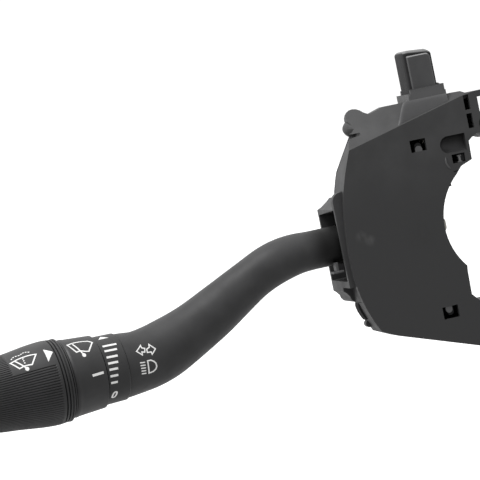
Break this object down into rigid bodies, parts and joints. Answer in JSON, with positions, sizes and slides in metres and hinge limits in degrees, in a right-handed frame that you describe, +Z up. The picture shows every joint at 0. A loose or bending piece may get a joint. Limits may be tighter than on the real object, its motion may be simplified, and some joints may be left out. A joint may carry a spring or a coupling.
{
  "type": "steering column stalk switch with hazard button",
  "caption": "C-shaped steering column switch: turn signal and headlamp lever with a wiper dial and wash knob, and a hazard flasher push button on top.",
  "frame": {"origin": "the steering column's axis in the mounting plane, halfway between the two mounting screws", "axes": "+X from the lever towards the column, +Z up along the hazard button, -Y towards the driver"},
  "size_m": [0.2098, 0.0618, 0.1117],
  "materials": {
    "housing_plastic": "fine moulded texture",
    "rear_plastic": "fine moulded texture",
    "guard_plastic": "fine moulded texture",
    "lever_plastic": "satin",
    "button_plastic": "satin",
    "seal_rubber": "matte",
    "acetal": "smooth",
    "connector_plastic": "fine moulded texture",
    "board": "satin",
    "spring_steel": "drawn wire",
    "steel": "zinc plated",
    "brass": "satin"
  },
  "bodies": {
    "housing": {"front_cover": "housing_plastic", "rear_housing": "rear_plastic", "lever_guard": "guard_plastic", "contact_board": "board", "main_connector": "connector_plastic", "main_terminals": "brass", "wiper_connector": "connector_plastic", "wiper_terminals": "brass", "cover_screws": "steel", "turn_pivot_pin": "steel", "detent_track": "acetal", "hazard_collar": "housing_plastic", "hazard_latch_pin": "steel", "hazard_fixed_contacts": "brass", "hazard_spring": "spring_steel", "pawl_spring": "spring_steel"},
    "carrier": {"turn_carrier": "acetal", "beam_pivot_pin": "steel", "turn_contact_slider": "brass", "detent_spring": "spring_steel", "flash_return_spring": "spring_steel"},
    "plunger": {"detent_plunger": "acetal"},
    "lever": {"lever_arm": "lever_plastic", "dial_spindle": "acetal", "dial_band": "lever_plastic", "wiper_contact_disc": "board", "collar_clip": "steel", "flash_contact": "brass", "washer_contact": "brass"},
    "dial": {"wiper_collar": "lever_plastic", "wiper_rotor": "brass", "collar_ring": "seal_rubber"},
    "knob": {"washer_knob": "lever_plastic", "washer_push_rod": "acetal", "washer_spring": "spring_steel"},
    "hazard": {"hazard_button": "button_plastic", "hazard_slider": "acetal", "hazard_contact_bridge": "brass"},
    "pawl": {"cancel_pawl": "acetal"}
  },
  "joints": [
    {"name": "turn_signal", "type": "hinge", "parent": "housing", "child": "carrier", "pos_m": [-0.044, -0.008, 0.0015], "axis": [0, 1, 0], "range_deg": [-8, 8]},
    {"name": "flash_pull", "type": "hinge", "parent": "carrier", "child": "lever", "pos_m": [-0.055, -0.008, 0.0015], "axis": [0, 0, 1], "range_deg": [0, 5], "stiffness_Nm_per_rad": 2, "springref_deg": -2.86, "deforming": ["flash_return_spring"]},
    {"name": "detent_press", "type": "slide", "parent": "carrier", "child": "plunger", "axis": [-1, 0, 0], "range_m": [0, 0.001], "stiffness_N_per_m": 900, "springref_m": -0.002, "deforming": ["detent_spring"]},
    {"name": "wiper_dial", "type": "hinge", "parent": "lever", "child": "dial", "pos_m": [-0.1589, -0.01471, -0.0236], "axis": [0.9903, 0.1392, 0], "range_deg": [-50, 60]},
    {"name": "wash_push", "type": "slide", "parent": "dial", "child": "knob", "axis": [0.9903, 0.1392, 0], "range_m": [0, 0.001], "stiffness_N_per_m": 1500, "springref_m": -0.001, "deforming": ["washer_spring"]},
    {"name": "hazard_push", "type": "slide", "parent": "housing", "child": "hazard", "axis": [0, 0, -1], "range_m": [0, 0.005], "stiffness_N_per_m": 600, "springref_m": -0.002, "deforming": ["hazard_spring"]},
    {"name": "pawl_retract", "type": "slide", "parent": "housing", "child": "pawl", "axis": [-1, 0, 0], "range_m": [0, 0.002], "stiffness_N_per_m": 300, "springref_m": -0.002, "deforming": ["pawl_spring"]}
  ]
}
